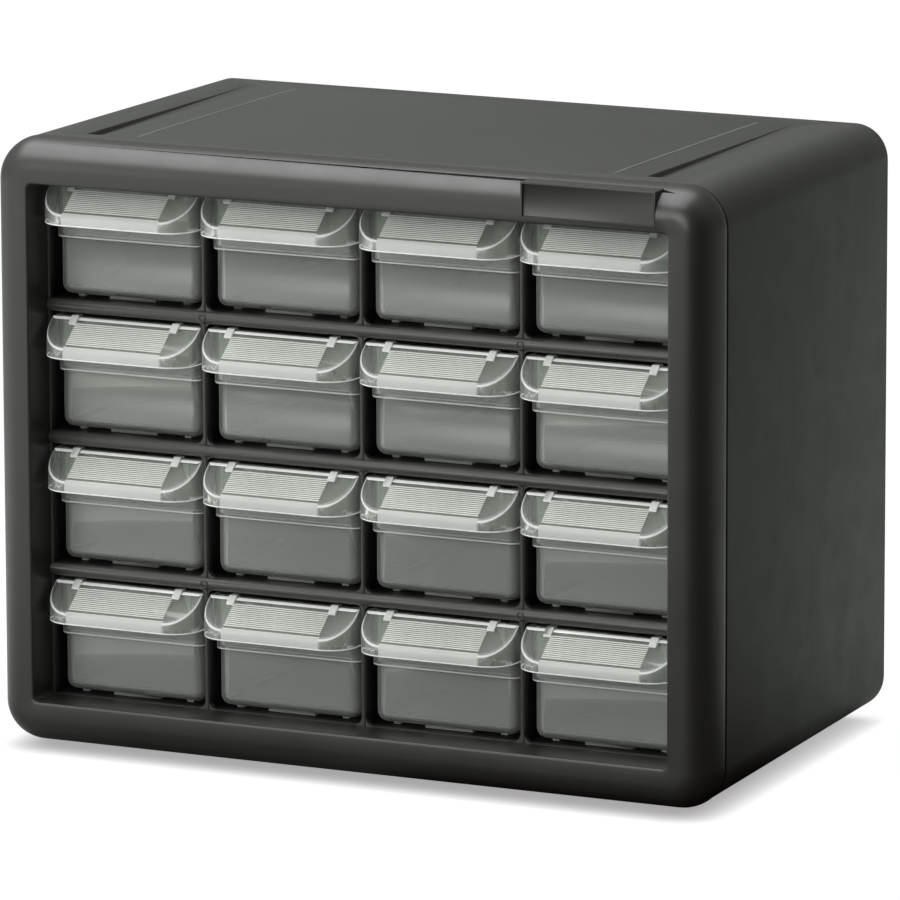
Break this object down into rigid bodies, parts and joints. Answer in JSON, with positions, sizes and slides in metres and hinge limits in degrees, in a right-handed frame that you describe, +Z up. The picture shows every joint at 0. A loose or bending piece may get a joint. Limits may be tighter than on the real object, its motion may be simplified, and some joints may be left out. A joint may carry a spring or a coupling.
{
  "type": "parts bin cabinet",
  "caption": "Benchtop cabinet of small clear plastic bins in rows and columns, in a dark moulded housing with a rounded front bezel.",
  "frame": {"origin": "bottom centre of the whole cabinet, on the surface it stands on", "axes": "+X to the right as seen from the front, the front faces -Y, +Z up"},
  "size_m": [0.267, 0.162, 0.2126],
  "materials": {
    "housing_plastic": "fine matte texture, dark grey",
    "bezel_plastic": "satin, dark grey",
    "grid_plastic": "satin, dark grey",
    "clear_bin_plastic": "gloss, frosted clear"
  },
  "bodies": {
    "cabinet": {"outer_shell": "housing_plastic", "front_bezel": "bezel_plastic", "side_guide_left": "grid_plastic", "side_guide_right": "grid_plastic", "bay_floor": "grid_plastic", "bay_ceiling": "grid_plastic", "shelf_1": "grid_plastic", "shelf_2": "grid_plastic", "shelf_3": "grid_plastic", "divider_left": "grid_plastic", "divider_centre": "grid_plastic", "divider_right": "grid_plastic"},
    "bin_r1c1": {"drawer_r1c1": "clear_bin_plastic"},
    "bin_r1c2": {"drawer_r1c2": "clear_bin_plastic"},
    "bin_r1c3": {"drawer_r1c3": "clear_bin_plastic"},
    "bin_r1c4": {"drawer_r1c4": "clear_bin_plastic"},
    "bin_r2c1": {"drawer_r2c1": "clear_bin_plastic"},
    "bin_r2c2": {"drawer_r2c2": "clear_bin_plastic"},
    "bin_r2c3": {"drawer_r2c3": "clear_bin_plastic"},
    "bin_r2c4": {"drawer_r2c4": "clear_bin_plastic"},
    "bin_r3c1": {"drawer_r3c1": "clear_bin_plastic"},
    "bin_r3c2": {"drawer_r3c2": "clear_bin_plastic"},
    "bin_r3c3": {"drawer_r3c3": "clear_bin_plastic"},
    "bin_r3c4": {"drawer_r3c4": "clear_bin_plastic"},
    "bin_r4c1": {"drawer_r4c1": "clear_bin_plastic"},
    "bin_r4c2": {"drawer_r4c2": "clear_bin_plastic"},
    "bin_r4c3": {"drawer_r4c3": "clear_bin_plastic"},
    "bin_r4c4": {"drawer_r4c4": "clear_bin_plastic"}
  },
  "joints": [
    {"name": "slide_r1c1", "type": "slide", "parent": "cabinet", "child": "bin_r1c1", "axis": [0, -1, 0], "range_m": [0, 0.13]},
    {"name": "slide_r1c2", "type": "slide", "parent": "cabinet", "child": "bin_r1c2", "axis": [0, -1, 0], "range_m": [0, 0.13]},
    {"name": "slide_r1c3", "type": "slide", "parent": "cabinet", "child": "bin_r1c3", "axis": [0, -1, 0], "range_m": [0, 0.13]},
    {"name": "slide_r1c4", "type": "slide", "parent": "cabinet", "child": "bin_r1c4", "axis": [0, -1, 0], "range_m": [0, 0.13]},
    {"name": "slide_r2c1", "type": "slide", "parent": "cabinet", "child": "bin_r2c1", "axis": [0, -1, 0], "range_m": [0, 0.13]},
    {"name": "slide_r2c2", "type": "slide", "parent": "cabinet", "child": "bin_r2c2", "axis": [0, -1, 0], "range_m": [0, 0.13]},
    {"name": "slide_r2c3", "type": "slide", "parent": "cabinet", "child": "bin_r2c3", "axis": [0, -1, 0], "range_m": [0, 0.13]},
    {"name": "slide_r2c4", "type": "slide", "parent": "cabinet", "child": "bin_r2c4", "axis": [0, -1, 0], "range_m": [0, 0.13]},
    {"name": "slide_r3c1", "type": "slide", "parent": "cabinet", "child": "bin_r3c1", "axis": [0, -1, 0], "range_m": [0, 0.13]},
    {"name": "slide_r3c2", "type": "slide", "parent": "cabinet", "child": "bin_r3c2", "axis": [0, -1, 0], "range_m": [0, 0.13]},
    {"name": "slide_r3c3", "type": "slide", "parent": "cabinet", "child": "bin_r3c3", "axis": [0, -1, 0], "range_m": [0, 0.13]},
    {"name": "slide_r3c4", "type": "slide", "parent": "cabinet", "child": "bin_r3c4", "axis": [0, -1, 0], "range_m": [0, 0.13]},
    {"name": "slide_r4c1", "type": "slide", "parent": "cabinet", "child": "bin_r4c1", "axis": [0, -1, 0], "range_m": [0, 0.13]},
    {"name": "slide_r4c2", "type": "slide", "parent": "cabinet", "child": "bin_r4c2", "axis": [0, -1, 0], "range_m": [0, 0.13]},
    {"name": "slide_r4c3", "type": "slide", "parent": "cabinet", "child": "bin_r4c3", "axis": [0, -1, 0], "range_m": [0, 0.13]},
    {"name": "slide_r4c4", "type": "slide", "parent": "cabinet", "child": "bin_r4c4", "axis": [0, -1, 0], "range_m": [0, 0.13]}
  ]
}
